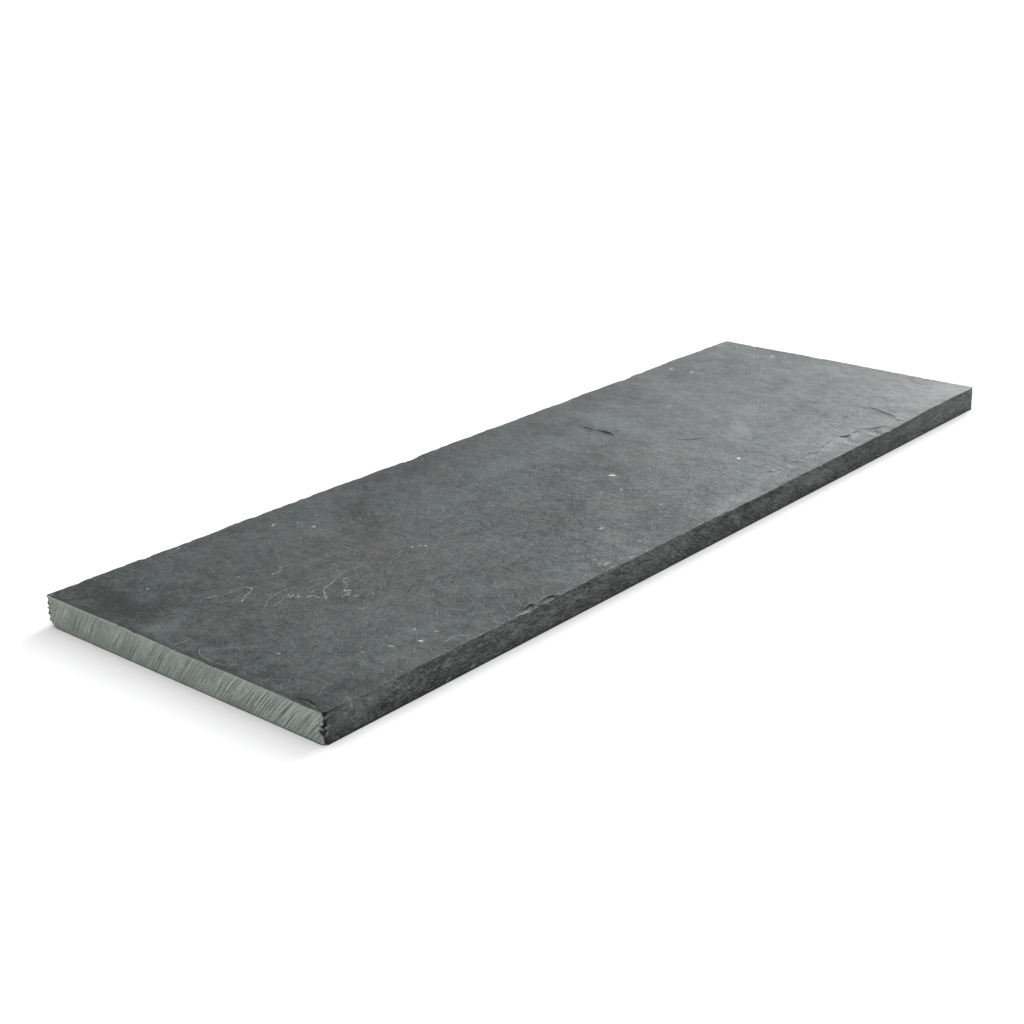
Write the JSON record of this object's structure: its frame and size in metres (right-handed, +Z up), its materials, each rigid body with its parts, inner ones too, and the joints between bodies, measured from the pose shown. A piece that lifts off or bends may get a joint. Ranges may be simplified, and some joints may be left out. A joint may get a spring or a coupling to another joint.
{
  "type": "slate slab",
  "caption": "Long, thin slab of dark grey slate with a riven cleft top, sawn ends, rough long sides and a flat underside.",
  "frame": {"origin": "centre of the underside", "axes": "+X along the length, away from the sawn end with the broken lower corner; +Y across the width; +Z up, out of the riven top"},
  "size_m": [0.9, 0.3, 0.0257],
  "materials": {
    "slate": "matte"
  },
  "bodies": {
    "root": {"slab": "slate"}
  },
  "joints": []
}
